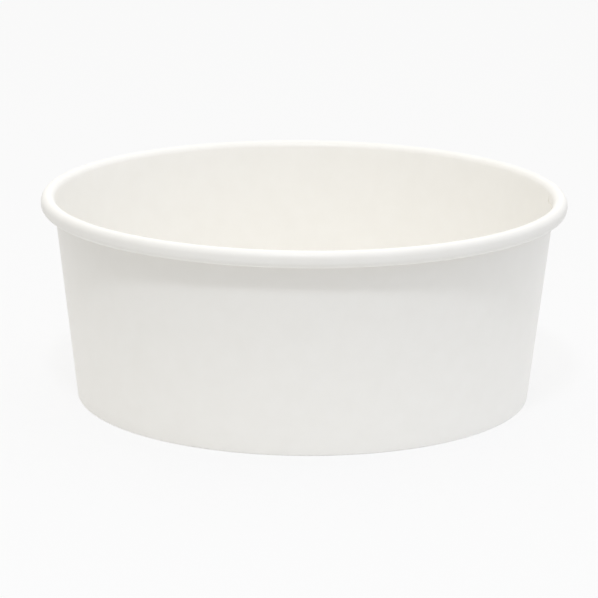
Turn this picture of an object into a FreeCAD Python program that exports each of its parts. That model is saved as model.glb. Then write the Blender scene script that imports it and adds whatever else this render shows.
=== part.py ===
"""A wide, shallow paper sundae cup: a wrapped and rolled side wall, with a recessed base sealed into it."""
import FreeCAD, Part
import math
import os
import Sketcher

# Driving dimensions, in millimetres
SIZES = {
    "rim_diameter": 150.0,   # across the rolled rim
    "base_diameter": 130.0,  # across the folded foot
    "cup_height": 59.0,      # from the resting edge to the top of the rim
    "wall_board": 0.4,       # thickness of the side wall's board
    "base_board": 0.35,      # thickness of the base's board
    "rim_roll": 2.0,         # outside radius of the rim where it turns over the top
    "rim_side": 0.85,        # straight side of the rim between its two turns
    "rim_tuck": 1.0,         # edge of the board tucked up inside the roll
    "rim_gap": 0.1,          # between the tucked edge and the wall
    "fold_radius": 0.1,      # inside radius of the two creases at the foot
    "base_recess": 6.0,      # from the resting edge up to the underside of the base
    "base_bend": 0.6,        # inside radius where the base turns down into its skirt
    "seal_gap": 0.05,        # left for the coating on each side of the skirt
    "fold_clearance": 0.3,   # between the turned-in edge and the bend of the base
    "lap_width": 8.0,        # overlap of the blank's two ends
    "lap_press": 0.05,       # how far the two ends are pressed into each other
    "ramp_radius": 11.0,     # radius on which the outer end climbs over the cut edge
}

# Sizes that follow from them, as expressions
FOLD_OUTSIDE = "(Sizes.wall_board + Sizes.fold_radius)"
ROLL_INSIDE = "(Sizes.rim_roll - Sizes.wall_board)"
LAP_RISE = "(Sizes.wall_board - Sizes.lap_press)"
SEAM_RADIUS = "(Sizes.rim_diameter / 2 - Sizes.rim_roll)"
LAP_ANGLE = f"Sizes.lap_width / {SEAM_RADIUS} * 180 / pi"
RAMP_BEND = f"(Sizes.ramp_radius * (1 - Sizes.ramp_radius / {SEAM_RADIUS}))"
RAMP_ANGLE = f"sqrt(2 * {LAP_RISE} / {RAMP_BEND}) * 180 / pi"
FULL_TURN = 360

# Names that sketches use for a line's or an arc's places, and for their axes
START, END, CENTRE = 1, 2, 3
UPRIGHT_AXIS = -2
CLIMB_AXIS = "Axis1"


def point(radius, height):
    """A point of a section: its distance from the cup's axis, and its height."""
    return FreeCAD.Vector(radius, height, 0)


def beside(centre, distance, angle):
    """The point at a distance from a centre, in the direction of an angle."""
    return centre + point(distance * math.cos(angle), distance * math.sin(angle))


def make_sheet(document):
    """Put the driving dimensions into a sheet, each under its own name."""
    sheet = document.addObject("Spreadsheet::Sheet", "Sizes")
    for row, (name, value) in enumerate(SIZES.items(), start=1):
        sheet.set(f"A{row}", name)
        sheet.set(f"B{row}", str(value))
        sheet.setAlias(f"B{row}", name)
    document.recompute()
    return sheet


def make_body(document, name):
    body = document.addObject("PartDesign::Body", name)
    body.Label = name
    return body


def make_section(body, name):
    """An empty sketch on the body's upright plane, with x as radius and y as height."""
    sketch = body.newObject("Sketcher::SketchObject", name)
    plane = [item for item in body.Origin.OriginFeatures if item.Role == "XZ_Plane"][0]
    sketch.AttachmentSupport = [(plane, "")]
    sketch.MapMode = "FlatFace"
    return sketch


def add_line(sketch, start, end, construction=False):
    return sketch.addGeometry(Part.LineSegment(start, end), construction)


def add_arc(sketch, centre, radius, start_angle, end_angle, construction=False):
    circle = Part.Circle(centre, FreeCAD.Vector(0, 0, 1), radius)
    return sketch.addGeometry(Part.ArcOfCircle(circle, start_angle, end_angle), construction)


def relate(sketch, kind, *places):
    sketch.addConstraint(Sketcher.Constraint(kind, *places))


def drive(sketch, expression, kind, *places):
    """Add a dimension that starts at its drawn value and is then driven by the sheet."""
    number = sketch.addConstraint(Sketcher.Constraint(kind, *places))
    sketch.setExpression(f"Constraints[{number}]", expression)


def drive_radius(sketch, arc, expression):
    drive(sketch, expression, "Radius", arc, sketch.Geometry[arc].Radius)


def drive_length(sketch, line, expression):
    drive(sketch, expression, "Distance", line, sketch.Geometry[line].length())


def drive_reach(sketch, item, end, expression):
    """Drive a point's distance from the cup's axis."""
    drive(sketch, expression, "DistanceX", item, end, sketch.getPoint(item, end).x)


def drive_height(sketch, item, end, expression):
    """Drive a point's height above the resting edge."""
    drive(sketch, expression, "DistanceY", item, end, sketch.getPoint(item, end).y)


def drive_offset(sketch, item, end, line, expression):
    """Drive a point's distance from a line."""
    edge = sketch.Geometry[line]
    along = (edge.EndPoint - edge.StartPoint).normalize()
    away = sketch.getPoint(item, end) - edge.StartPoint
    drive(sketch, expression, "Distance", item, end, line, abs(away.x * along.y - away.y * along.x))


def first_layout(sheet):
    """Where the foot's and the rim's turns are drawn, and the wall's slope between them."""
    fold = sheet.wall_board + sheet.fold_radius
    foot = point(sheet.base_diameter / 2 - fold, fold)
    rim = point(sheet.rim_diameter / 2 - sheet.rim_roll, sheet.cup_height - sheet.rim_roll)
    between = rim - foot
    crossing = math.asin((sheet.fold_radius + sheet.rim_roll) / between.Length)
    return foot, rim, math.atan2(between.x, between.y) - crossing


def add_wall_guide(sketch, sheet):
    """A construction line along the wall's inner face, from the foot's outer crease to the rim's roll."""
    foot, rim, slope = first_layout(sheet)
    crease = add_arc(sketch, foot, sheet.fold_radius, -math.pi / 2, -slope, True)
    roll = add_arc(sketch, rim, sheet.rim_roll, math.pi / 2, math.pi - slope, True)
    guide = add_line(sketch, beside(foot, sheet.fold_radius, -slope),
                     beside(rim, sheet.rim_roll, math.pi - slope), True)
    relate(sketch, "Tangent", crease, END, guide, START)
    relate(sketch, "Tangent", guide, END, roll, END)
    relate(sketch, "Vertical", crease, START, crease, CENTRE)
    relate(sketch, "Vertical", roll, START, roll, CENTRE)
    drive_radius(sketch, crease, "Sizes.fold_radius")
    drive_radius(sketch, roll, "Sizes.rim_roll")
    drive_reach(sketch, crease, CENTRE, f"Sizes.base_diameter / 2 - {FOLD_OUTSIDE}")
    drive_height(sketch, crease, CENTRE, FOLD_OUTSIDE)
    drive_reach(sketch, roll, CENTRE, "Sizes.rim_diameter / 2 - Sizes.rim_roll")
    drive_height(sketch, roll, CENTRE, "Sizes.cup_height - Sizes.rim_roll")
    return guide


def draw_wall_section(sketch, sheet):
    """The board's section, as one closed outline.

    It runs from the edge turned in at the foot, up the wall and round the rolled rim, to the tucked edge.
    """
    foot, rim, slope = first_layout(sheet)
    board = sheet.wall_board
    fold = board + sheet.fold_radius
    channel = sheet.base_board + 2 * sheet.seal_gap
    up = math.pi / 2 - slope
    inward = math.pi - slope
    down = -math.pi / 2

    # Places of the turns
    inner_foot = foot - point((channel - 2 * sheet.fold_radius) / math.cos(slope), 0)
    side_end = rim - point(0, sheet.rim_side)
    wall_reach = foot.x + fold / math.cos(slope) + (side_end.y - foot.y) * math.tan(slope)
    room = (sheet.rim_diameter / 2 - wall_reach) * math.cos(slope) - sheet.rim_gap
    tuck_roll = room / (1 + math.cos(slope))
    tuck = point(sheet.rim_diameter / 2 - tuck_roll, side_end.y)
    edge_height = sheet.base_recess - sheet.base_bend - sheet.fold_clearance
    edge_length = (edge_height - inner_foot.y) / math.cos(slope)

    # The face that starts outside the cup: turned-in edge, foot, wall and the hollow side of the roll
    edge_top = beside(beside(inner_foot, fold, inward), edge_length, up)
    edge_face = add_line(sketch, edge_top, beside(inner_foot, fold, inward))
    inner_crease = add_arc(sketch, inner_foot, fold, inward, 2 * math.pi + down)
    rest = add_line(sketch, beside(inner_foot, fold, down), beside(foot, fold, down))
    outer_crease = add_arc(sketch, foot, fold, down, -slope)
    wall_face = add_line(sketch, beside(foot, fold, -slope), beside(rim, sheet.rim_roll - board, inward))
    roll_hollow = add_arc(sketch, rim, sheet.rim_roll - board, 0, inward)
    side_top = beside(rim, sheet.rim_roll - board, 0)
    side_hollow = add_line(sketch, side_top, beside(tuck, tuck_roll - board, 0))
    tuck_hollow = add_arc(sketch, tuck, tuck_roll - board, inward, 2 * math.pi)
    tuck_start = beside(tuck, tuck_roll - board, inward)
    tuck_face = add_line(sketch, tuck_start, beside(tuck_start, sheet.rim_tuck, up))

    # The face that starts inside the cup, back from the tucked edge
    tuck_back = beside(tuck, tuck_roll, inward)
    tuck_end = beside(tuck_back, sheet.rim_tuck, up)
    tuck_cut = add_line(sketch, beside(tuck_start, sheet.rim_tuck, up), tuck_end)
    tuck_outside = add_line(sketch, tuck_end, tuck_back)
    tuck_turn = add_arc(sketch, tuck, tuck_roll, inward, 2 * math.pi)
    side = add_line(sketch, beside(tuck, tuck_roll, 0), beside(rim, sheet.rim_roll, 0))
    roll = add_arc(sketch, rim, sheet.rim_roll, 0, inward)
    wall_top = beside(rim, sheet.rim_roll, inward)
    wall_back = add_line(sketch, wall_top, beside(foot, sheet.fold_radius, -slope))
    outer_corner = add_arc(sketch, foot, sheet.fold_radius, down, -slope)
    floor_start = beside(foot, sheet.fold_radius, down)
    channel_floor = add_line(sketch, floor_start, beside(inner_foot, sheet.fold_radius, down))
    inner_corner = add_arc(sketch, inner_foot, sheet.fold_radius, inward, 2 * math.pi + down)
    edge_start = beside(inner_foot, sheet.fold_radius, inward)
    edge_back = add_line(sketch, edge_start, beside(edge_start, edge_length, up))
    edge_cut = add_line(sketch, beside(edge_start, edge_length, up), edge_top)

    # Smooth joints along both faces
    smooth_joints = [
        (edge_face, END, inner_crease, START),
        (inner_crease, END, rest, START),
        (rest, END, outer_crease, START),
        (outer_crease, END, wall_face, START),
        (wall_face, END, roll_hollow, END),
        (roll_hollow, START, side_hollow, START),
        (side_hollow, END, tuck_hollow, END),
        (tuck_hollow, START, tuck_face, START),
        (tuck_outside, END, tuck_turn, START),
        (tuck_turn, END, side, START),
        (side, END, roll, START),
        (roll, END, wall_back, START),
        (wall_back, END, outer_corner, END),
        (outer_corner, START, channel_floor, START),
        (channel_floor, END, inner_corner, END),
        (inner_corner, START, edge_back, START),
    ]
    for joint in smooth_joints:
        relate(sketch, "Tangent", *joint)
    relate(sketch, "Coincident", tuck_face, END, tuck_cut, START)
    relate(sketch, "Coincident", tuck_cut, END, tuck_outside, START)
    relate(sketch, "Coincident", edge_back, END, edge_cut, START)
    relate(sketch, "Coincident", edge_cut, END, edge_face, START)

    # The board has one thickness, so the two faces turn about the same centres
    for hollow, outside in ((inner_corner, inner_crease), (outer_corner, outer_crease), (roll_hollow, roll),
                            (tuck_hollow, tuck_turn)):
        relate(sketch, "Coincident", hollow, CENTRE, outside, CENTRE)
    for upright in (side, side_hollow):
        relate(sketch, "Vertical", upright)
    for leaning in (tuck_outside, edge_back):
        relate(sketch, "Parallel", leaning, wall_back)
    relate(sketch, "Parallel", tuck_face, tuck_outside)
    relate(sketch, "Parallel", edge_face, edge_back)
    relate(sketch, "Perpendicular", tuck_cut, tuck_outside)
    relate(sketch, "Perpendicular", edge_cut, edge_back)

    # The foot
    drive_radius(sketch, outer_crease, FOLD_OUTSIDE)
    drive_radius(sketch, inner_crease, FOLD_OUTSIDE)
    drive_radius(sketch, outer_corner, "Sizes.fold_radius")
    drive_radius(sketch, inner_corner, "Sizes.fold_radius")
    drive_reach(sketch, outer_crease, CENTRE, f"Sizes.base_diameter / 2 - {FOLD_OUTSIDE}")
    drive_height(sketch, outer_crease, CENTRE, FOLD_OUTSIDE)
    drive_height(sketch, inner_crease, CENTRE, FOLD_OUTSIDE)
    drive_offset(sketch, edge_back, END, wall_back, "Sizes.base_board + 2 * Sizes.seal_gap")
    drive_height(sketch, edge_back, END, "Sizes.base_recess - Sizes.base_bend - Sizes.fold_clearance")

    # The rim
    drive_radius(sketch, roll, "Sizes.rim_roll")
    drive_radius(sketch, roll_hollow, ROLL_INSIDE)
    drive_reach(sketch, roll, CENTRE, "Sizes.rim_diameter / 2 - Sizes.rim_roll")
    drive_height(sketch, roll, CENTRE, "Sizes.cup_height - Sizes.rim_roll")
    drive_length(sketch, side, "Sizes.rim_side")
    drive_offset(sketch, tuck_outside, START, wall_face, "Sizes.rim_gap")
    drive_length(sketch, tuck_outside, "Sizes.rim_tuck")


def draw_strip(sketch, sheet, far, far_offset):
    """A strip along the wall, on one side of the face where the blank's two ends meet.

    Its far side is given by its offset from the wall's inner face. The sketch also carries the leaning
    axis about which the outer end climbs onto that face.
    """
    guide = add_wall_guide(sketch, sheet)
    foot, _, slope = first_layout(sheet)
    near = sheet.wall_board - sheet.lap_press
    low = sheet.wall_board + sheet.fold_radius + sheet.fold_clearance
    high = sheet.cup_height - 2 * sheet.rim_roll - sheet.rim_side

    def at(offset, height):
        lean = (height - foot.y) * math.tan(slope)
        return point(foot.x + lean + (sheet.fold_radius + offset) / math.cos(slope), height)

    face = add_line(sketch, at(near, low), at(near, high))
    top = add_line(sketch, at(near, high), at(far, high))
    back = add_line(sketch, at(far, high), at(far, low))
    bottom = add_line(sketch, at(far, low), at(near, low))
    axis = add_line(sketch, at(near - sheet.ramp_radius, low), at(near - sheet.ramp_radius, high), True)

    outline = (face, top, back, bottom)
    for edge, following in zip(outline, outline[1:] + outline[:1]):
        relate(sketch, "Coincident", edge, END, following, START)
    for upright in (face, back, axis):
        relate(sketch, "Parallel", upright, guide)
    for level in (top, bottom):
        relate(sketch, "Horizontal", level)
    relate(sketch, "Horizontal", axis, START, face, START)
    relate(sketch, "Horizontal", axis, END, face, END)
    drive_offset(sketch, face, START, guide, LAP_RISE)
    drive_offset(sketch, back, START, guide, far_offset)
    drive_offset(sketch, axis, START, face, "Sizes.ramp_radius")
    drive_height(sketch, face, START, f"{FOLD_OUTSIDE} + Sizes.fold_clearance")
    drive_height(sketch, face, END, "Sizes.cup_height - 2 * Sizes.rim_roll - Sizes.rim_side")


def draw_base_section(sketch, sheet):
    """The base's section: a flat disc whose edge turns down into a skirt along the wall."""
    guide = add_wall_guide(sketch, sheet)
    foot, _, slope = first_layout(sheet)
    board = sheet.base_board
    bend_height = sheet.base_recess - sheet.base_bend
    bend_inset = (sheet.fold_radius - sheet.seal_gap - board - sheet.base_bend) / math.cos(slope)
    bend = point(foot.x + (bend_height - foot.y) * math.tan(slope) + bend_inset, bend_height)
    skirt = (bend_height - sheet.wall_board - sheet.fold_radius) / math.cos(slope)
    down = -math.pi / 2 - slope
    over = math.pi / 2

    outer_start = beside(bend, board + sheet.base_bend, -slope)
    outer_end = beside(outer_start, skirt, down)
    inner_start = beside(bend, sheet.base_bend, -slope)
    inner_end = beside(inner_start, skirt, down)
    upper = point(0, sheet.base_recess + board)
    under = point(0, sheet.base_recess)
    top = add_line(sketch, upper, beside(bend, board + sheet.base_bend, over))
    outer_bend = add_arc(sketch, bend, board + sheet.base_bend, -slope, over)
    outer_skirt = add_line(sketch, outer_start, outer_end)
    cut = add_line(sketch, outer_end, inner_end)
    inner_skirt = add_line(sketch, inner_end, inner_start)
    inner_bend = add_arc(sketch, bend, sheet.base_bend, -slope, over)
    underside = add_line(sketch, beside(bend, sheet.base_bend, over), under)
    middle = add_line(sketch, under, upper)

    relate(sketch, "Tangent", top, END, outer_bend, END)
    relate(sketch, "Tangent", outer_bend, START, outer_skirt, START)
    relate(sketch, "Coincident", outer_skirt, END, cut, START)
    relate(sketch, "Coincident", cut, END, inner_skirt, START)
    relate(sketch, "Tangent", inner_skirt, END, inner_bend, START)
    relate(sketch, "Tangent", inner_bend, END, underside, START)
    relate(sketch, "Coincident", underside, END, middle, START)
    relate(sketch, "Coincident", middle, END, top, START)
    relate(sketch, "Coincident", inner_bend, CENTRE, outer_bend, CENTRE)
    relate(sketch, "PointOnObject", middle, START, UPRIGHT_AXIS)
    relate(sketch, "PointOnObject", middle, END, UPRIGHT_AXIS)
    relate(sketch, "Horizontal", top)
    relate(sketch, "Horizontal", underside)
    relate(sketch, "Parallel", outer_skirt, guide)
    relate(sketch, "Parallel", inner_skirt, outer_skirt)
    relate(sketch, "Perpendicular", cut, outer_skirt)
    drive_radius(sketch, inner_bend, "Sizes.base_bend")
    drive_radius(sketch, outer_bend, "Sizes.base_bend + Sizes.base_board")
    drive_height(sketch, underside, END, "Sizes.base_recess")
    drive_offset(sketch, outer_skirt, START, guide, "Sizes.seal_gap")
    drive_height(sketch, outer_skirt, END, FOLD_OUTSIDE)


def revolve(body, kind, name, sketch, axis, angle, backwards=False):
    """Turn a section about an axis of its own sketch, by a number of degrees or by an expression."""
    feature = body.newObject(kind, name)
    feature.Profile = sketch
    feature.ReferenceAxis = (sketch, [axis])
    feature.Reversed = backwards
    if isinstance(angle, str):
        feature.setExpression("Angle", angle)
    else:
        feature.Angle = angle
    body.Tip = feature


def make_side_wall(document, sheet):
    """One blank, wrapped and lapped at a side seam, rolled at the rim and folded round the base's skirt."""
    body = make_body(document, "side_wall")
    section = make_section(body, "WallSection")
    draw_wall_section(section, sheet)
    revolve(body, "PartDesign::Revolution", "Wall", section, "V_Axis", FULL_TURN)

    # The outer end of the blank lies over the inner one, and climbs there from the wall's own surface
    layer = make_section(body, "LapSection")
    draw_strip(layer, sheet, 2 * sheet.wall_board - sheet.lap_press, f"{LAP_RISE} + Sizes.wall_board")
    revolve(body, "PartDesign::Revolution", "Lap", layer, "V_Axis", LAP_ANGLE)
    revolve(body, "PartDesign::Revolution", "Ramp", layer, CLIMB_AXIS, RAMP_ANGLE, backwards=True)

    # Under the climbing end the inner face is left hollow, beside the blank's cut edge
    hollow = make_section(body, "HollowSection")
    draw_strip(hollow, sheet, -sheet.lap_press, "Sizes.lap_press")
    revolve(body, "PartDesign::Groove", "Hollow", hollow, CLIMB_AXIS, RAMP_ANGLE, backwards=True)
    return body


def make_base_disc(document, sheet):
    """A round blank with its edge turned down, held between the wall and the wall's turned-in edge."""
    body = make_body(document, "base_disc")
    section = make_section(body, "BaseSection")
    draw_base_section(section, sheet)
    revolve(body, "PartDesign::Revolution", "Base", section, "V_Axis", FULL_TURN)
    return body


def check(document, parts):
    """Stop if any step of the model failed, or if a piece isn't one sound solid."""
    for item in document.Objects:
        if "Invalid" in item.State or "Error" in item.State:
            raise RuntimeError(f"{item.Label} failed: {item.State}")
        if item.TypeId == "Sketcher::SketchObject" and not item.FullyConstrained:
            raise RuntimeError(f"{item.Label} isn't fully constrained")
    for part in parts:
        if part.Shape.isNull() or not part.Shape.isValid() or len(part.Shape.Solids) != 1:
            raise RuntimeError(f"{part.Label} isn't one sound solid")


def main():
    document = FreeCAD.newDocument("paper_sundae_cup")
    sheet = make_sheet(document)
    parts = [make_side_wall(document, sheet), make_base_disc(document, sheet)]
    document.recompute()
    check(document, parts)
    os.makedirs("parts", exist_ok=True)
    for part in parts:
        part.Shape.exportStep(f"parts/{part.Label}.step")
        box = part.Shape.optimalBoundingBox()
        print(f"{part.Label}: volume {part.Shape.Volume:.1f} mm3, radius {box.XMax:.2f}, "
              f"height {box.ZMin:.2f} to {box.ZMax:.2f}")


main()
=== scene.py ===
# %% [markdown]
# # A paper sundae cup
#
# The real cup is two blanks of coated paperboard. A fan-shaped one is wrapped round and lapped on itself,
# its top is rolled outwards into a rim, and its foot is folded in and up round the skirt of the second
# blank, a round base. This lesson builds the two blanks as they are made, one bend at a time.
#
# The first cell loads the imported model, which says where the two pieces are and how large they are.
# Everything here is in metres and in that model's own frame.

# %% Load the frame
import math
import bmesh
import bpy
from mathutils import Matrix, Vector


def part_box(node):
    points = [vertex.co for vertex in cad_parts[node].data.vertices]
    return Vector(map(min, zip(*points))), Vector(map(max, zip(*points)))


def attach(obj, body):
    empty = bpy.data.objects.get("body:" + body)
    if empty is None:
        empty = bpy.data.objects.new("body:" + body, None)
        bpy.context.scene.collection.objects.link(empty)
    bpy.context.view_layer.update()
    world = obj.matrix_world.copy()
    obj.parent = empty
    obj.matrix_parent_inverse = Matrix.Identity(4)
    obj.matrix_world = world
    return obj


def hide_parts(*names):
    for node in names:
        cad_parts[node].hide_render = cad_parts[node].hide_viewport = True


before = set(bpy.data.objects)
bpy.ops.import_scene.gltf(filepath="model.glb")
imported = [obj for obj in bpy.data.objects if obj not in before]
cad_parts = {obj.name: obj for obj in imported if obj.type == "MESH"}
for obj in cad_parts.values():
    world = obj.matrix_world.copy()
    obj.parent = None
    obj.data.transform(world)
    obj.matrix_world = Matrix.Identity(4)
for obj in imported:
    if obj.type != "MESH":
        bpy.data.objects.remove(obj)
bpy.context.view_layer.update()
MM = 0.001

# %% [markdown]
# ## Colours
#
# Colours are picked on a screen as sRGB, but a shader works in linear light. One function turns a hex
# value into the linear colour that the sockets expect.

# %% Turn a hex colour to linear light
def linear(hex_colour):
    channels = [int(hex_colour[place:place + 2], 16) / 255 for place in (0, 2, 4)]
    light = [value / 12.92 if value <= 0.04045 else ((value + 0.055) / 1.055) ** 2.4 for value in channels]
    return (*light, 1.0)


STUDIO_WHITE = linear("FAFAFA")
print("studio white in linear light:", [round(value, 3) for value in STUDIO_WHITE])

# %% [markdown]
# ## A function that adds a node
#
# Every material below is a small tree of nodes. This one function adds a node, sets its properties and
# fills its sockets, each with a number or with another node's output, so a tree reads from top to bottom.

# %% Add a node with its settings and links
def add_node(tree, kind, sockets=None, **settings):
    node = tree.nodes.new(kind)
    for name, value in settings.items():
        setattr(node, name, value)
    for name, value in (sockets or {}).items():
        if isinstance(value, bpy.types.NodeSocket):
            tree.links.new(value, node.inputs[name])
        else:
            node.inputs[name].default_value = value
    return node


# %% [markdown]
# ## A function that tells looking from lighting
#
# The background should look plain white without throwing more light on the cup. Blender's light path says
# what a ray is for. A camera ray, a reflection and a ray through glass look at the background, and every
# other ray gathers the light that falls on the cup. Both the world and the floor below use this.

# %% Tell the rays that look from the rays that light
def add_looking(tree):
    """Adds the nodes that give 1 for a ray that looks at the background, and 0 for one that lights."""
    path = add_node(tree, "ShaderNodeLightPath")
    looking = path.outputs["Is Camera Ray"]
    for kind in ("Is Glossy Ray", "Is Transmission Ray"):
        looking = add_node(tree, "ShaderNodeMath", {0: looking, 1: path.outputs[kind]},
                           operation="MAXIMUM").outputs[0]
    return looking


# %% [markdown]
# ## The camera
#
# The photograph was taken from a little above the rim with a long lens, which is why the far side of the
# rim is nearly as wide as the near side. The camera's height, distance and lens were worked out from the
# outlines of the rim and the foot, with the rim taken as 150 mm across. It leans by half a degree. A
# tracking constraint could aim the camera, but it would leave out the lean, so its matrix is set directly
# from the three directions that it looks along.

# %% Place the camera
CAMERA_ELEVATION = math.radians(14.33)
CAMERA_LEAN = math.radians(0.503)
CAMERA_DISTANCE = 911.5 * MM
CAMERA_LENS = 190.5
CAMERA_TARGET = Vector((-1.24, 0, 27.25)) * MM

camera_data = bpy.data.cameras.new("camera")
camera_data.lens = CAMERA_LENS
camera = bpy.data.objects.new("camera", camera_data)
bpy.context.scene.collection.objects.link(camera)
back = Vector((0, -math.cos(CAMERA_ELEVATION), math.sin(CAMERA_ELEVATION)))
right = Matrix.Rotation(CAMERA_LEAN, 3, back) @ Vector((1, 0, 0))
turn = Matrix((right, back.cross(right), back)).transposed().to_4x4()
camera.matrix_world = Matrix.Translation(CAMERA_TARGET + back * CAMERA_DISTANCE) @ turn
bpy.context.scene.camera = camera
bpy.context.scene.view_settings.view_transform = "Standard"
print("camera at", [round(v, 3) for v in camera.matrix_world.translation], "m")

# %% [markdown]
# ## The light
#
# The cup was photographed in soft light from all round, with one lamp high in front of it. The lamp adds
# the shadow under the rim and the bright line along it. The soft light wasn't quite even: it was
# brightest overhead and behind, and a little stronger and cooler from the right. So the world starts from
# an even level, and adds to it towards the top, the back and the right. What it adds in a direction is
# the square of that direction's share along the axis. A ray that looks sees plain studio white instead.

# %% Light the world
EVEN_LIGHT = (0.39, 0.39, 0.38)
LIGHT_FROM_RIGHT = (0.20, 0.25, 0.36)
LIGHT_FROM_BACK = (0.73, 0.73, 0.73)
LIGHT_FROM_ABOVE = (0.88, 0.85, 0.81)

world = bpy.data.worlds.new("soft_light")
world.use_nodes = True
bpy.context.scene.world = world
tree = world.node_tree
tree.nodes.clear()
direction = add_node(tree, "ShaderNodeTexCoord").outputs["Generated"]
share = add_node(tree, "ShaderNodeVectorMath", {0: direction, 1: (0, 0, 0)}, operation="MAXIMUM")
squared = add_node(tree, "ShaderNodeVectorMath", {0: share.outputs[0], 1: share.outputs[0]},
                   operation="MULTIPLY")
parts = add_node(tree, "ShaderNodeSeparateXYZ", {"Vector": squared.outputs[0]})
light = EVEN_LIGHT
for axis, extra in (("X", LIGHT_FROM_RIGHT), ("Y", LIGHT_FROM_BACK), ("Z", LIGHT_FROM_ABOVE)):
    more = add_node(tree, "ShaderNodeVectorMath", {0: extra, "Scale": parts.outputs[axis]}, operation="SCALE")
    light = add_node(tree, "ShaderNodeVectorMath", {0: light, 1: more.outputs[0]}, operation="ADD").outputs[0]
print("soft light: even", EVEN_LIGHT, "and three parts added to it")

# %% Show plain white where nothing is
looking = add_looking(tree)
soft_light = add_node(tree, "ShaderNodeBackground", {"Color": light, "Strength": 1.0})
plain_white = add_node(tree, "ShaderNodeBackground", {"Color": STUDIO_WHITE, "Strength": 1.0})
either = add_node(tree, "ShaderNodeMixShader", {0: looking, 1: soft_light.outputs[0],
                                                2: plain_white.outputs[0]})
add_node(tree, "ShaderNodeOutputWorld", {"Surface": either.outputs[0]})
print("the world has", len(tree.nodes), "nodes")

# %% [markdown]
# ## The lamp
#
# In the photograph the rim throws a shadow about 5 mm deep on the wall, with a soft lower edge. The depth
# says how high the lamp was, and the soft edge says how large it looked from the cup. A sun lamp would give
# the same height, but an area lamp has a real size, so a disc of 13 cm hangs 1.2 m away.

# %% Hang the lamp
LAMP_ELEVATION = math.radians(58.5)
LAMP_AZIMUTH = math.radians(-5)
LAMP_DISTANCE = 1.2
LAMP_SIZE = 0.13
LAMP_POWER = 3.6
LAMP_COLOUR = linear("F0F5FF")[:3]

lamp_data = bpy.data.lights.new("softbox", "AREA")
lamp_data.shape = "DISK"
lamp_data.size = LAMP_SIZE
lamp_data.energy = LAMP_POWER
lamp_data.color = LAMP_COLOUR
lamp = bpy.data.objects.new("softbox", lamp_data)
bpy.context.scene.collection.objects.link(lamp)
towards_lamp = Vector((math.sin(LAMP_AZIMUTH) * math.cos(LAMP_ELEVATION),
                       -math.cos(LAMP_AZIMUTH) * math.cos(LAMP_ELEVATION), math.sin(LAMP_ELEVATION)))
lamp.location = towards_lamp * LAMP_DISTANCE
lamp.rotation_euler = towards_lamp.to_track_quat("Z", "Y").to_euler()
print("lamp at", [round(v, 2) for v in lamp.location], "m,", LAMP_POWER, "W")

# %% [markdown]
# ## The floor
#
# The cup stands on white card, which throws light back up at it. In the photograph the wall is brighter near
# its foot, so most of that light came from close by. That pool of light is painted into the card: for the
# rays that light the cup, the card is pale near the cup and painted greyer further off. A ray that looks sees
# it equally
# pale all over: most of what it gets is an even white glow, and the rest is the card's own shading, which
# keeps the cup's soft shadow.

# %% Lay the floor
FLOOR_RADIUS = 3.0
FLOOR_SIDES = 64

floor_mesh = bpy.data.meshes.new("floor")
floor_shape = bmesh.new()
bmesh.ops.create_circle(floor_shape, cap_ends=True, segments=FLOOR_SIDES, radius=FLOOR_RADIUS)
floor_shape.to_mesh(floor_mesh)
floor_shape.free()
floor = bpy.data.objects.new("floor", floor_mesh)
bpy.context.scene.collection.objects.link(floor)
print("floor:", FLOOR_RADIUS * 2, "m across")

# %% Finish the floor
# A painted pool of light on the card: it fades from pale to grey between these two distances from the cup.
PAINTED_POOL_START, PAINTED_POOL_END = 0.12, 0.25
CARD_NEAR, PAINTED_POOL_FAR = 0.9, 0.4
SHADING_SHARE = 0.15

floor_finish = bpy.data.materials.new("white_card")
floor_finish.use_nodes = True
tree = floor_finish.node_tree
tree.nodes.clear()
place = add_node(tree, "ShaderNodeTexCoord").outputs["Object"]
reach = add_node(tree, "ShaderNodeVectorMath", {0: place}, operation="LENGTH")
# The painted pool of light: paler near the cup and painted greyer further off, for the rays that light the
# cup.
painted_light_pool = add_node(tree, "ShaderNodeMapRange",
                    {"Value": reach.outputs["Value"], "From Min": PAINTED_POOL_START, "From Max": PAINTED_POOL_END,
                     "To Min": CARD_NEAR, "To Max": PAINTED_POOL_FAR}, interpolation_type="SMOOTHSTEP")
looking = add_looking(tree)
seen_paleness = add_node(tree, "ShaderNodeMath", {0: looking, 1: CARD_NEAR}, operation="MULTIPLY")
card_and_painted_pool = add_node(tree, "ShaderNodeMath", {0: painted_light_pool.outputs["Result"], 1: seen_paleness.outputs[0]},
                         operation="MAXIMUM")
card = add_node(tree, "ShaderNodeBsdfDiffuse", {"Color": card_and_painted_pool.outputs[0]})
glow = add_node(tree, "ShaderNodeEmission", {"Color": STUDIO_WHITE, "Strength": 1.0})
share = add_node(tree, "ShaderNodeMath", {0: looking, 1: 1 - SHADING_SHARE}, operation="MULTIPLY")
surface = add_node(tree, "ShaderNodeMixShader", {0: share.outputs[0], 1: card.outputs[0], 2: glow.outputs[0]})
add_node(tree, "ShaderNodeOutputMaterial", {"Surface": surface.outputs[0]})
floor_mesh.materials.append(floor_finish)
print("card:", CARD_NEAR, "pale near the cup,", PAINTED_POOL_FAR, "past", PAINTED_POOL_END, "m")

# %% [markdown]
# ## Sizes of the cup
#
# The rim's diameter, the height and the base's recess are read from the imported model. The small sizes of
# the bends can't be read from a box, so they are named here as they are on the real cup: board of
# 0.4 mm, a rim rolled on a radius of 2 mm, and a foot folded tight round the base's skirt.

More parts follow.
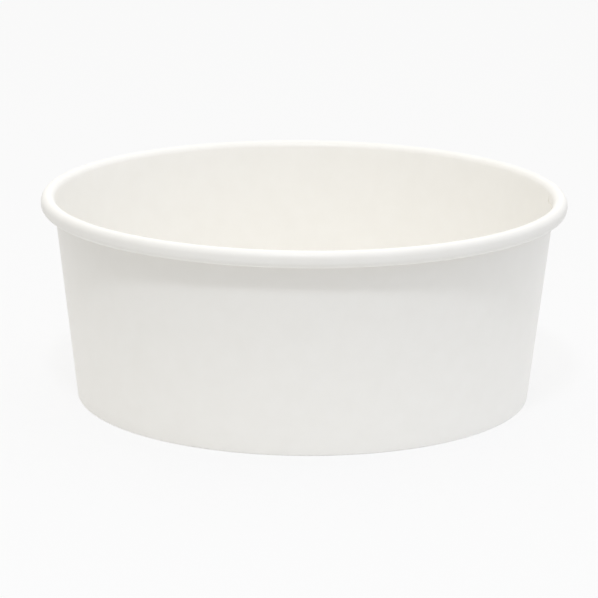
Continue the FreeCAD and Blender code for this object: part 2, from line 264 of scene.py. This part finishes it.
# %% Name the sizes
wall_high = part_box("side_wall")[1]
base_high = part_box("base_disc")[1]
WALL_BOARD = 0.4 * MM
BASE_BOARD = 0.35 * MM
RIM_RADIUS = wall_high.x
CUP_HEIGHT = wall_high.z
BASE_TOP = base_high.z
BASE_RADIUS = 65 * MM
ROLL_RADIUS = 2 * MM
ROLL_SIDE = 0.85 * MM
TUCK_LENGTH = 1 * MM
TUCK_GAP = 0.1 * MM
FOLD_RADIUS = 0.1 * MM
BASE_BEND = 0.6 * MM
SEAL_GAP = 0.05 * MM
FOLD_CLEARANCE = 0.3 * MM
LAP_PRESS = 0.05 * MM
MERGE_DISTANCE = 0.01 * MM

foot_turn = Vector((BASE_RADIUS - WALL_BOARD - FOLD_RADIUS, 0, WALL_BOARD + FOLD_RADIUS))
rim_turn = Vector((RIM_RADIUS - ROLL_RADIUS, 0, CUP_HEIGHT - ROLL_RADIUS))
between = rim_turn - foot_turn
WALL_LEAN = math.atan2(between.x, between.z) - math.asin((FOLD_RADIUS + ROLL_RADIUS) / between.length)
print("the wall leans out by", round(math.degrees(WALL_LEAN), 2), "degrees")

# %% [markdown]
# ## Drawing a bent board
#
# A sheet's section is straight runs joined by bends, so it can be drawn like one stroke of a pen. A run
# extrudes the pen's vertex along a straight line, and a bend spins it round a centre. Both are operators
# that leave a chain of edges behind them, and the pen is the last vertex of the chain. A curve could be
# drawn instead, but its handles don't say a bend's radius, and on a bent board the radius is what is known.

# %% Draw with a pen
def draw_run(shape, pen, heading, length, steps=1):
    for _ in range(steps):
        pen = bmesh.ops.extrude_vert_indiv(shape, verts=[pen])["verts"][0]
        pen.co += heading * (length / steps)
    return pen


def draw_bend(shape, pen, centre, angle, steps):
    bent = bmesh.ops.spin(shape, geom=[pen], cent=centre, axis=(0, 1, 0), angle=angle, steps=steps,
                          use_merge=False)
    return next(item for item in bent["geom_last"] if isinstance(item, bmesh.types.BMVert))


def beside(centre, distance, angle):
    """The point at a distance from a centre, at an angle above the outward horizontal."""
    return centre + Vector((math.cos(angle), 0, math.sin(angle))) * distance


# %% [markdown]
# ## The side wall's section
#
# The real blank is one sheet of board, so its section has one thickness all along. Only the face that
# looks into the cup is drawn here, and the thickness is added at the end. The pen starts at the edge that
# is turned in under the base, goes down to the foot, up the wall, over the rolled rim and down its side,
# and ends on the edge that is tucked up inside the roll.
#
# First the turning points and lengths are worked out, so that every run meets its bends without a corner.
# The wall leaves a narrow channel at the foot for the base's skirt, and the tuck's radius is the one that
# fits between the rim's side and the wall. The steps have names, because the lap below counts with them.

# %% Work out the section's bends and lengths
OUT, UP, DOWN = Vector((1, 0, 0)), Vector((0, 0, 1)), Vector((0, 0, -1))
along_wall = Vector((math.sin(WALL_LEAN), 0, math.cos(WALL_LEAN)))
inward = math.pi - WALL_LEAN

channel = BASE_BOARD + 2 * SEAL_GAP
inner_foot_turn = foot_turn - OUT * ((channel - 2 * FOLD_RADIUS) / math.cos(WALL_LEAN))
edge_height = BASE_TOP - BASE_BOARD - BASE_BEND - FOLD_CLEARANCE
edge_length = (edge_height - inner_foot_turn.z) / math.cos(WALL_LEAN)
wall_reach = foot_turn.x + (WALL_BOARD + FOLD_RADIUS) / math.cos(WALL_LEAN)
wall_reach += (rim_turn.z - ROLL_SIDE - foot_turn.z) * math.tan(WALL_LEAN)
tuck_radius = ((RIM_RADIUS - wall_reach) * math.cos(WALL_LEAN) - TUCK_GAP) / (1 + math.cos(WALL_LEAN))
wall_length = math.sqrt(between.length_squared - (FOLD_RADIUS + ROLL_RADIUS) ** 2)
print("wall", round(wall_length / MM, 2), "mm, edge", round(edge_length / MM, 2), "mm, tuck radius",
      round(tuck_radius / MM, 2), "mm")

# %% Draw the side wall's section
EDGE_STEPS, FOLD_STEPS, CHANNEL_STEPS, WALL_STEPS = 4, 5, 1, 24
ROLL_STEPS, TUCK_BEND_STEPS, TUCK_STEPS = 22, 16, 2

wall_shape = bmesh.new()
pen = wall_shape.verts.new(beside(inner_foot_turn, FOLD_RADIUS, inward) + along_wall * edge_length)
pen = draw_run(wall_shape, pen, -along_wall, edge_length, EDGE_STEPS)
pen = draw_bend(wall_shape, pen, inner_foot_turn, -(math.pi / 2 + WALL_LEAN), FOLD_STEPS)
pen = draw_run(wall_shape, pen, OUT, foot_turn.x - inner_foot_turn.x, CHANNEL_STEPS)
pen = draw_bend(wall_shape, pen, foot_turn, -(math.pi / 2 - WALL_LEAN), FOLD_STEPS)
pen = draw_run(wall_shape, pen, along_wall, wall_length, WALL_STEPS)
pen = draw_bend(wall_shape, pen, rim_turn, inward, ROLL_STEPS)
pen = draw_run(wall_shape, pen, DOWN, ROLL_SIDE)
pen = draw_bend(wall_shape, pen, rim_turn + OUT * (ROLL_RADIUS - tuck_radius) - UP * ROLL_SIDE,
                math.pi + WALL_LEAN, TUCK_BEND_STEPS)
pen = draw_run(wall_shape, pen, along_wall, TUCK_LENGTH, TUCK_STEPS)
print("section:", len(wall_shape.verts), "points, ends", [round(v / MM, 3) for v in pen.co], "mm")

# %% [markdown]
# ## Wrapping the blank
#
# On the real machine the blank is wrapped round a mandrel, and its second end is lapped over the first
# and sealed. The spin operator does the same with the section. It makes the first end, goes on round the
# cup, climbs over the first end's cut edge in short steps, and then lies over it for 8 mm. Each spin
# carries on from the section that the last one ended on, and the rows of vertices near the lap are kept.
# One full spin would be simpler, but it would make a pipe without a seam, and a paper cup has one.

# %% Spin a section, and keep its rows
def only_verts(items):
    return [item for item in items if isinstance(item, bmesh.types.BMVert)]


def wrap(shape, section, angle, steps):
    return bmesh.ops.spin(shape, geom=section, cent=(0, 0, 0), axis=UP, angle=angle, steps=steps,
                          use_merge=False)["geom_last"]


def wrap_in_rows(shape, section, angle, steps):
    rows = []
    for _ in range(steps):
        section = wrap(shape, section, angle / steps, 1)
        rows.append(only_verts(section))
    return rows, section


# %% Wrap the section round the axis
FULL_STEP = math.radians(1.25)
LAP_STEPS = 5
CLIMB_STEPS = 8
CLIMB = 2 * FULL_STEP

section = list(wall_shape.verts) + list(wall_shape.edges)
first_end = [only_verts(section)]
rows, section = wrap_in_rows(wall_shape, section, LAP_STEPS * FULL_STEP, LAP_STEPS)
first_end += rows
round_steps = round((2 * math.pi - CLIMB) / FULL_STEP) - LAP_STEPS
section = wrap(wall_shape, section, round_steps * FULL_STEP, round_steps)
climb_rows, section = wrap_in_rows(wall_shape, section, CLIMB, CLIMB_STEPS)
lap_rows, section = wrap_in_rows(wall_shape, section, LAP_STEPS * FULL_STEP, LAP_STEPS)
print("wrapped in", LAP_STEPS + round_steps + CLIMB_STEPS + LAP_STEPS, "steps,",
      len(wall_shape.faces), "faces")

# %% [markdown]
# ## Lapping the two ends
#
# The faces of this sheet should point into the cup, so a face at the top of the rim points up. Then the
# second end's wall moves out by a board's thickness, less what the machine presses out of it. It climbs
# in gently, and it eases back to the first end's place under the rim. So the cup shows one cut edge
# outside and one inside. The points of a row are counted along the section from the edge under the base:
# the wall's own points start after FOOT_POINTS of them, and the roll starts at RIM_START.
#
# At the foot a real blank has its corner cut off, so the fold isn't four boards thick. At the rim the roll
# presses the two ends flat, so the rim looks whole in the photograph. Here the first end's faces are
# deleted at both places, and the second end, which isn't moved there, is merged with what is left.

# %% Turn the faces into the cup
bmesh.ops.recalc_face_normals(wall_shape, faces=wall_shape.faces)
rim_top = max(wall_shape.faces, key=lambda face: face.calc_center_median().z)
if rim_top.normal.z < 0:
    bmesh.ops.reverse_faces(wall_shape, faces=wall_shape.faces)
wall_shape.normal_update()
print("the rim's top face points", "up" if rim_top.normal.z > 0 else "down")

# %% Move the second end out
LAP_RISE = WALL_BOARD - LAP_PRESS
FOOT_POINTS = 1 + EDGE_STEPS + FOLD_STEPS + CHANNEL_STEPS + FOLD_STEPS
RIM_START = FOOT_POINTS + WALL_STEPS - 1
EASE_POINTS = 3


def eased(share):
    """A share from 0 to 1 that starts and ends gently, and stays at 1 past the end."""
    share = min(max(share, 0), 1)
    return share * share * (3 - 2 * share)


for number, row in enumerate(climb_rows + lap_rows, start=1):
    rise = LAP_RISE * eased(number / CLIMB_STEPS)
    for point in range(FOOT_POINTS, RIM_START):
        row[point].co -= row[point].normal * rise * eased((RIM_START - point) / EASE_POINTS)
print("moved points", FOOT_POINTS, "to", RIM_START - 1, "of each row by up to", round(rise / MM, 2), "mm")

# %% Cut off what the second end covers
corners = []
for span in (slice(None, FOOT_POINTS + 1), slice(RIM_START - 1, None)):
    corner = {vert for row in first_end for vert in row[span]}
    corners += [face for face in wall_shape.faces if all(vert in corner for vert in face.verts)]
bmesh.ops.delete(wall_shape, geom=corners, context="FACES")
bmesh.ops.remove_doubles(wall_shape, verts=wall_shape.verts, dist=MERGE_DISTANCE)
print("cut off", len(corners), "faces at the foot and the rim;", len(wall_shape.verts), "points are left")

# %% [markdown]
# ## Giving the board its thickness
#
# The solidify operator copies the sheet at the board's thickness behind it, and closes the cut edges.
# Those edges are raw paper, while both faces have a plastic coating, so they get a material slot of
# their own. A Solidify modifier could do it too, but with the operator the edges can be picked out at
# once. Corners sharper than 40 degrees are marked sharp, and everything else is shaded smooth.

# %% Give a sheet its thickness
SHARP_ANGLE = math.radians(40)
COATED_SLOT, RAW_SLOT = 0, 1


def thicken(shape, board):
    """Adds the board's thickness behind the faces, with the cut edges in the second material slot."""
    front = set(shape.verts)
    bmesh.ops.solidify(shape, geom=list(shape.faces), thickness=board)
    for face in shape.faces:
        on_front = [vert in front for vert in face.verts]
        face.material_index = RAW_SLOT if any(on_front) and not all(on_front) else COATED_SLOT
    print(sum(face.material_index == RAW_SLOT for face in shape.faces), "faces are cut edge")


# %% Make a piece of a shape
def make_piece(name, shape, materials):
    mesh = bpy.data.meshes.new(name)
    shape.to_mesh(mesh)
    shape.free()
    mesh.shade_smooth()
    mesh.set_sharp_from_angle(angle=SHARP_ANGLE)
    for material in materials:
        mesh.materials.append(material)
    piece = bpy.data.objects.new(name, mesh)
    bpy.context.scene.collection.objects.link(piece)
    print(name, "has", sum(len(face.vertices) - 2 for face in mesh.polygons), "triangles")
    return piece


# %% [markdown]
# ## The base's section
#
# The base is a second, thinner blank: a disc whose edge is turned down into a short skirt. The pen draws
# its upper face from the axis outwards, round the bend and down the skirt, along the wall. This piece has
# no seam, so here a full spin is right. Its ends are merged, and so are the points on the axis, which
# closes the middle.

# %% Work out the base's bend and skirt
base_bend_reach = (FOLD_RADIUS - SEAL_GAP - BASE_BOARD - BASE_BEND) / math.cos(WALL_LEAN)
bend_height = BASE_TOP - BASE_BOARD - BASE_BEND
bend_turn = Vector((foot_turn.x + (bend_height - foot_turn.z) * math.tan(WALL_LEAN) + base_bend_reach, 0,
                    bend_height))
skirt = (bend_height - WALL_BOARD - FOLD_RADIUS) / math.cos(WALL_LEAN)
print("bend at", [round(v / MM, 2) for v in bend_turn], "mm, skirt", round(skirt / MM, 2), "mm")

# %% Draw the base and turn it
DISC_STEPS, BEND_STEPS, SKIRT_STEPS, TURN_STEPS = 12, 10, 3, 192

base_shape = bmesh.new()
pen = base_shape.verts.new((0, 0, BASE_TOP))
pen = draw_run(base_shape, pen, OUT, bend_turn.x, DISC_STEPS)
pen = draw_bend(base_shape, pen, bend_turn, math.pi / 2 + WALL_LEAN, BEND_STEPS)
pen = draw_run(base_shape, pen, -along_wall, skirt, SKIRT_STEPS)
bmesh.ops.spin(base_shape, geom=list(base_shape.verts) + list(base_shape.edges), cent=(0, 0, 0), axis=UP,
               angle=2 * math.pi, steps=TURN_STEPS, use_merge=True)
bmesh.ops.remove_doubles(base_shape, verts=base_shape.verts, dist=MERGE_DISTANCE)
bmesh.ops.recalc_face_normals(base_shape, faces=base_shape.faces)
middle = min(base_shape.faces, key=lambda face: face.calc_center_median().xy.length)
if middle.normal.z < 0:
    bmesh.ops.reverse_faces(base_shape, faces=base_shape.faces)
print("base:", len(base_shape.verts), "points,", len(base_shape.faces), "faces")

# %% [markdown]
# ## Coated cup board
#
# Cup board is bleached wood pulp pressed into a sheet, with a thin film of polyethylene on each face.
# It is a warm white with a soft gloss. Seen close, the fibres lie unevenly, so the white is slightly
# cloudy over a few millimetres, the film follows their relief, and a few darker fibres show as specks.
# The film's index of refraction is 1.51. The fibres' relief is finer than the render can show, so it is
# drawn about twice as coarse as it is.
#
# One noise texture makes the clouds, and it moves the colour and the roughness together, because both come
# from how closely the fibres lie. A finer noise makes the relief. The specks are the middles of the cells
# of a Voronoi texture, and only about one cell in eight has one.

# %% Name what the coated board shows
CLOUD_SIZE, FIBRE_SIZE = 6 * MM, 0.5 * MM
CLOUD_TONE = "E8E4DB"
LEAST_WHITE = 0.9
LEAST_ROUGH, MOST_ROUGH = 0.40, 0.48
SPECK_TONE = "CDBFAE"
SPECK_SPACING, SPECK_RADIUS, SPECK_SHARE = 9 * MM, 0.216 * MM, 0.12
FILM_IOR = 1.51
FILM_RELIEF, FILM_RELIEF_SHARE = 0.03 * MM, 0.12
print("clouds of", CLOUD_SIZE / MM, "mm, fibres of", FIBRE_SIZE / MM, "mm, a speck in one cell of",
      round(1 / SPECK_SHARE))


# %% Start a material on the piece's own place
def start_material(name):
    material = bpy.data.materials.new(name)
    material.use_nodes = True
    tree = material.node_tree
    tree.nodes.clear()
    place = add_node(tree, "ShaderNodeTexCoord").outputs["Object"]
    return material, tree, place


# %% Make the coated board
def coated_board(name, white):
    cloud_range = {"From Min": 0.3, "From Max": 0.7}
    material, tree, place = start_material(name)

    clouds = add_node(tree, "ShaderNodeTexNoise", {"Vector": place, "Scale": 1 / CLOUD_SIZE, "Detail": 3.0,
                                                   "Roughness": 0.6})
    fibres = add_node(tree, "ShaderNodeTexNoise", {"Vector": place, "Scale": 1 / FIBRE_SIZE, "Detail": 2.0,
                                                   "Roughness": 0.55})
    specks = add_node(tree, "ShaderNodeTexVoronoi", {"Vector": place, "Scale": 1 / SPECK_SPACING,
                                                     "Randomness": 1.0})
    speck_place = add_node(tree, "ShaderNodeMath", {0: specks.outputs["Distance"],
                                                    1: SPECK_RADIUS / SPECK_SPACING}, operation="LESS_THAN")
    speck_choice = add_node(tree, "ShaderNodeSeparateColor", {"Color": specks.outputs["Color"]})
    chosen = add_node(tree, "ShaderNodeMath", {0: speck_choice.outputs["Red"], 1: SPECK_SHARE},
                      operation="LESS_THAN")
    speck = add_node(tree, "ShaderNodeMath", {0: speck_place.outputs[0], 1: chosen.outputs[0]},
                     operation="MULTIPLY")

    cloudy = add_node(tree, "ShaderNodeMapRange", {**cloud_range, "Value": clouds.outputs["Fac"],
                                                   "To Min": LEAST_WHITE, "To Max": 1.0})
    board = add_node(tree, "ShaderNodeMix", {"Factor": cloudy.outputs["Result"], 6: linear(CLOUD_TONE),
                                             7: linear(white)}, data_type="RGBA")
    spotted = add_node(tree, "ShaderNodeMix", {"Factor": speck.outputs[0], 6: board.outputs[2],
                                               7: linear(SPECK_TONE)}, data_type="RGBA")

    gloss = add_node(tree, "ShaderNodeMapRange", {**cloud_range, "Value": clouds.outputs["Fac"],
                                                  "To Min": LEAST_ROUGH, "To Max": MOST_ROUGH})
    relief = add_node(tree, "ShaderNodeBump", {"Height": fibres.outputs["Fac"],
                                               "Strength": FILM_RELIEF_SHARE, "Distance": FILM_RELIEF})
    shader = add_node(tree, "ShaderNodeBsdfPrincipled", {"Base Color": spotted.outputs[2], "IOR": FILM_IOR,
                                                         "Roughness": gloss.outputs["Result"],
                                                         "Normal": relief.outputs["Normal"]})
    add_node(tree, "ShaderNodeOutputMaterial", {"Surface": shader.outputs[0]})
    print(name, "has", len(tree.nodes), "nodes")
    return material


# %% [markdown]
# ## The raw cut edge
#
# Where the blanks were cut, the board's core of pressed fibres is bare. It is matt, a little darker than
# the coated face, and mottled where the cut ran through the fibres. A fine noise mixes two tones of the
# core and gives it its relief.

# %% Make the raw edge
CORE_DARK, CORE_LIGHT = "DDD6C8", "EFEADF"
LAYER_SIZE, LAYER_RELIEF, LAYER_RELIEF_SHARE = 0.3 * MM, 0.05 * MM, 0.4
RAW_ROUGHNESS = 0.85


def raw_edge(name):
    material, tree, place = start_material(name)
    layers = add_node(tree, "ShaderNodeTexNoise", {"Vector": place, "Scale": 1 / LAYER_SIZE, "Detail": 3.0})
    core = add_node(tree, "ShaderNodeMix", {"Factor": layers.outputs["Fac"], 6: linear(CORE_DARK),
                                            7: linear(CORE_LIGHT)}, data_type="RGBA")
    relief = add_node(tree, "ShaderNodeBump", {"Height": layers.outputs["Fac"],
                                               "Strength": LAYER_RELIEF_SHARE, "Distance": LAYER_RELIEF})
    shader = add_node(tree, "ShaderNodeBsdfPrincipled", {"Base Color": core.outputs[2],
                                                         "Roughness": RAW_ROUGHNESS,
                                                         "Normal": relief.outputs["Normal"]})
    add_node(tree, "ShaderNodeOutputMaterial", {"Surface": shader.outputs[0]})
    print(name, "has", len(tree.nodes), "nodes")
    return material


# %% [markdown]
# ## Two finished pieces
#
# The base's board is painted a little less white than the wall's, as painted shade for the strong light that
# falls on its upward face. Each piece rides on the cup's one body, takes the place of its node in the
# imported model and names the slot that its board fills.

# %% Make the three finishes
# The base's white is darker than the wall's as painted shade for the light that falls on it from above.
WALL_WHITE, BASE_SHADED_WHITE = "FAF8F3", "F0EEE9"

wall_finish = coated_board("coated_cup_board_wall", WALL_WHITE)
base_finish = coated_board("coated_cup_board_base", BASE_SHADED_WHITE)
edge_finish = raw_edge("raw_board_edge")

# %% Put the two pieces in place
thicken(wall_shape, WALL_BOARD)
wall = make_piece("wrapped_side_wall", wall_shape, [wall_finish, edge_finish])
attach(wall, "root")
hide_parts("side_wall")

thicken(base_shape, BASE_BOARD)
base = make_piece("recessed_base", base_shape, [base_finish, edge_finish])
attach(base, "root")
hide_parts("base_disc")

# %% [markdown]
# ## Update the scene
#
# The view layer is updated, so that the new pieces' places and parents are current.

# %% Update the view layer
bpy.context.view_layer.update()
